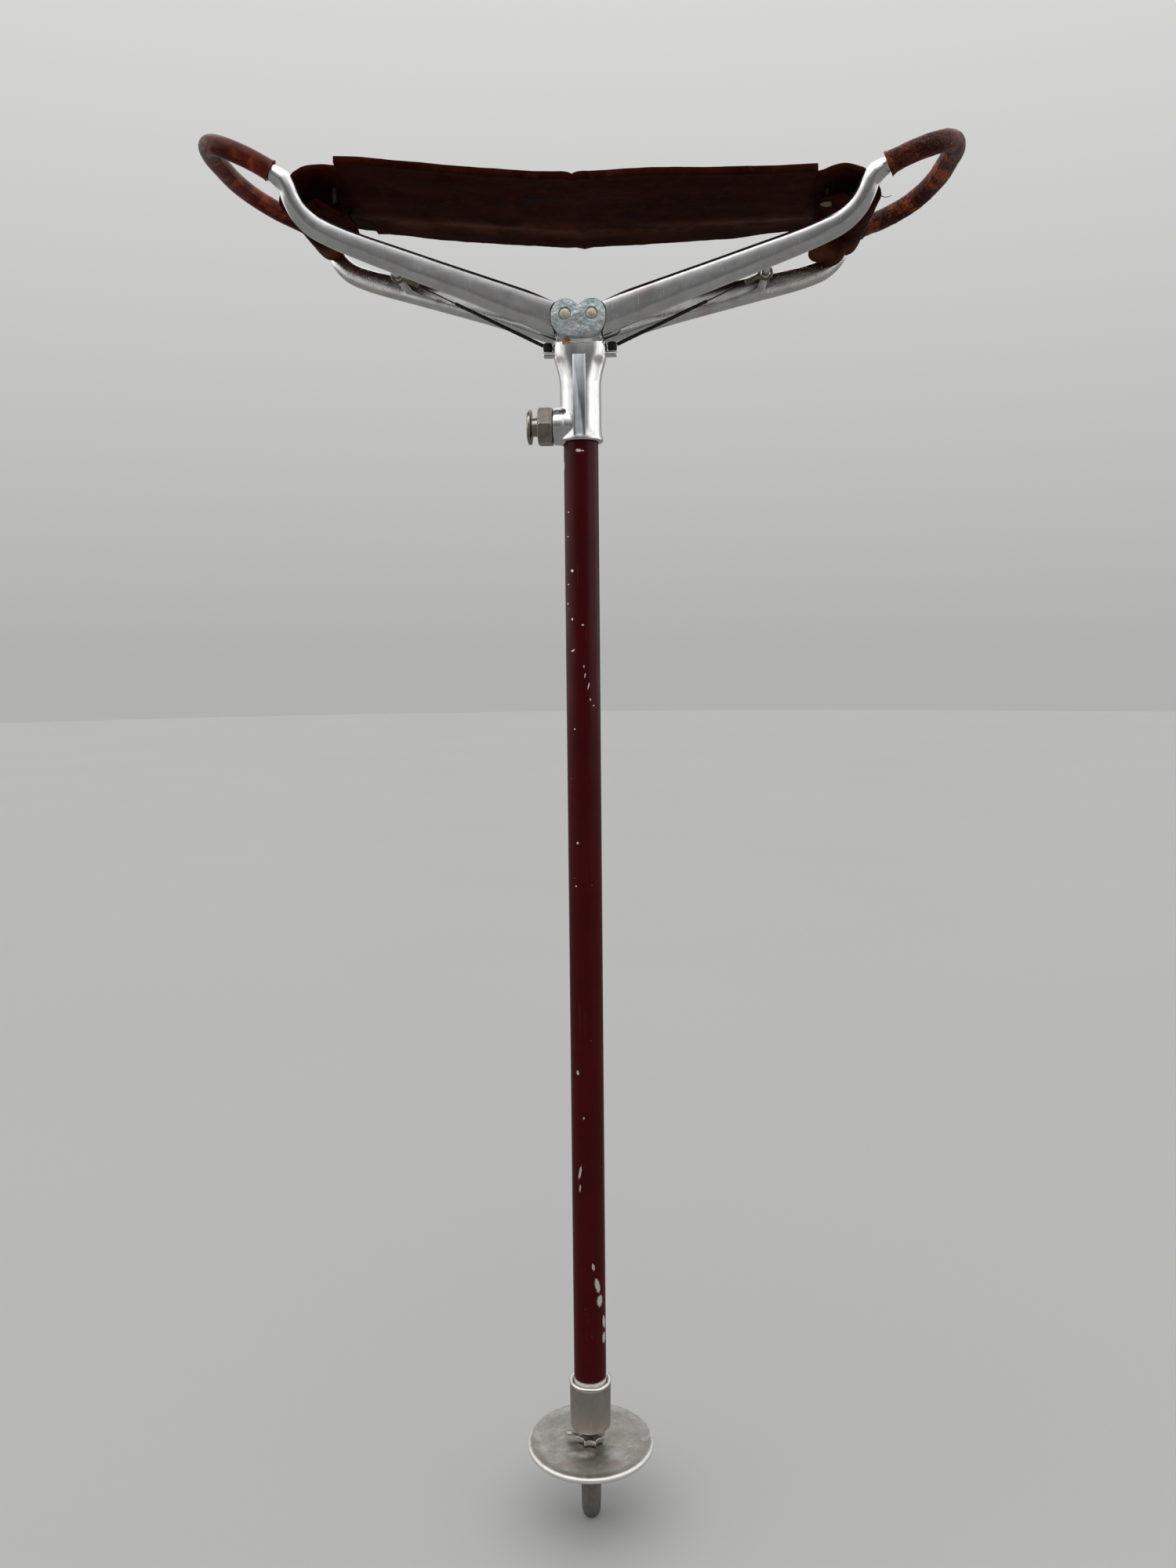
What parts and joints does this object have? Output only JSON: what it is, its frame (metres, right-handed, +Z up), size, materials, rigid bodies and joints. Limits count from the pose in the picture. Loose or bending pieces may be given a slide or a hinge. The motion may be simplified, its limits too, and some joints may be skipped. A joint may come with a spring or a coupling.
{
  "type": "folding seat stick",
  "caption": "Walking stick with a spiked ground disc and two forked wings that open into a leather sling seat and fold up into one handle.",
  "frame": {"origin": "tip of the ground spike, at the bottom centre of the object's box", "axes": "+Z up along the stick, +X towards the right wing, -Y towards the front"},
  "size_m": [0.4672, 0.1292, 0.9174],
  "materials": {
    "painted_tube": "gloss dark maroon paint, chipped to bare metal",
    "satin_aluminium": "dull, tarnished",
    "dull_steel": "dull, brown with age",
    "polished_aluminium": "polished, finely scratched",
    "brass": "worn",
    "black_rubber": "matt",
    "handle_leather": "smooth red-brown, worn and cracked",
    "sling_leather": "very dark brown, satin, tan cut edges"
  },
  "bodies": {
    "stick": {"shaft_tube": "painted_tube", "end_plug": "satin_aluminium", "ferrule": "satin_aluminium", "spike": "dull_steel", "head_casting": "polished_aluminium", "pivot_pin_left": "brass", "pivot_pin_right": "brass", "plunger_housing": "dull_steel", "plunger_spring": "dull_steel", "cord_bead_left": "black_rubber", "cord_bead_right": "black_rubber"},
    "ground_disc": {"ground_disc": "satin_aluminium"},
    "lock_nut": {"star_lock_nut": "dull_steel"},
    "plunger": {"plunger_pin": "dull_steel", "plunger_knob": "dull_steel"},
    "wing_right": {"wing_frame_right": "polished_aluminium", "handle_wrap_right": "handle_leather"},
    "wing_left": {"wing_frame_left": "polished_aluminium", "handle_wrap_left": "handle_leather"},
    "sling_right": {"sling_right": "sling_leather", "sling_rivet_right_front": "brass", "sling_rivet_right_rear": "brass"},
    "sling_left": {"sling_left": "sling_leather", "sling_rivet_left_front": "brass", "sling_rivet_left_rear": "brass"},
    "stay_right": {"stay_sleeve_right": "black_rubber"},
    "stay_left": {"stay_sleeve_left": "black_rubber"},
    "stay_end_right": {"stay_wire_right": "black_rubber", "stay_eye_right": "brass"},
    "stay_end_left": {"stay_wire_left": "black_rubber", "stay_eye_left": "brass"}
  },
  "joints": [
    {"name": "disc_spin", "type": "hinge", "parent": "stick", "child": "ground_disc", "pos_m": [0, 0, 0.053], "axis": [0, 0, 1], "continuous": true},
    {"name": "lock_nut_turn", "type": "hinge", "parent": "stick", "child": "lock_nut", "pos_m": [0, 0, 0.0589], "axis": [0, 0, 1], "range_deg": [0, 270]},
    {"name": "plunger_pull", "type": "slide", "parent": "stick", "child": "plunger", "axis": [-1, 0, 0], "range_m": [0, 0.0045], "stiffness_N_per_m": 900, "springref_m": -0.004, "deforming": ["plunger_spring"]},
    {"name": "wing_fold", "type": "hinge", "parent": "stick", "child": "wing_right", "pos_m": [0.00835, 0, 0.8134], "axis": [0, -1, 0], "range_deg": [0, 68]},
    {"name": "wing_left_fold", "type": "hinge", "parent": "stick", "child": "wing_left", "pos_m": [-0.00835, 0, 0.8134], "axis": [0, 1, 0], "range_deg": [0, 65.8]},
    {"name": "sling_right_hinge", "type": "hinge", "parent": "wing_right", "child": "sling_right", "pos_m": [0.17191, 0, 0.87093], "axis": [0, -1, 0], "range_deg": [0, 20], "deforming": ["sling_right"]},
    {"name": "sling_left_hinge", "type": "hinge", "parent": "wing_left", "child": "sling_left", "pos_m": [-0.16958, 0, 0.87716], "axis": [0, 1, 0], "range_deg": [0, 20], "deforming": ["sling_left"]},
    {"name": "stay_right_swing", "type": "hinge", "parent": "stick", "child": "stay_right", "pos_m": [0.0205, 0, 0.7965], "axis": [0, -1, 0], "range_deg": [0, 64.5], "deforming": ["stay_sleeve_right"]},
    {"name": "stay_left_swing", "type": "hinge", "parent": "stick", "child": "stay_left", "pos_m": [-0.0205, 0, 0.7965], "axis": [0, 1, 0], "range_deg": [0, 62.3], "deforming": ["stay_sleeve_left"]},
    {"name": "stay_right_end", "type": "hinge", "parent": "wing_right", "child": "stay_end_right", "pos_m": [0.11697, 0, 0.83923], "axis": [0, -1, 0], "range_deg": [-4.5, 0], "deforming": ["stay_wire_right"]},
    {"name": "stay_left_end", "type": "hinge", "parent": "wing_left", "child": "stay_end_left", "pos_m": [-0.1159, 0, 0.84338], "axis": [0, 1, 0], "range_deg": [-4.5, 0], "deforming": ["stay_wire_left"]}
  ],
  "couplings": [
    {"joint": "wing_left_fold", "follows": "wing_fold", "ratio": 0.96765},
    {"joint": "sling_right_hinge", "follows": "wing_fold", "ratio": 0.29172},
    {"joint": "sling_left_hinge", "follows": "wing_fold", "ratio": 0.29248},
    {"joint": "stay_right_swing", "follows": "wing_fold", "ratio": 0.94183},
    {"joint": "stay_left_swing", "follows": "wing_fold", "ratio": 0.9083},
    {"joint": "stay_right_end", "follows": "wing_fold", "ratio": -0.05817},
    {"joint": "stay_left_end", "follows": "wing_fold", "ratio": -0.059349}
  ]
}
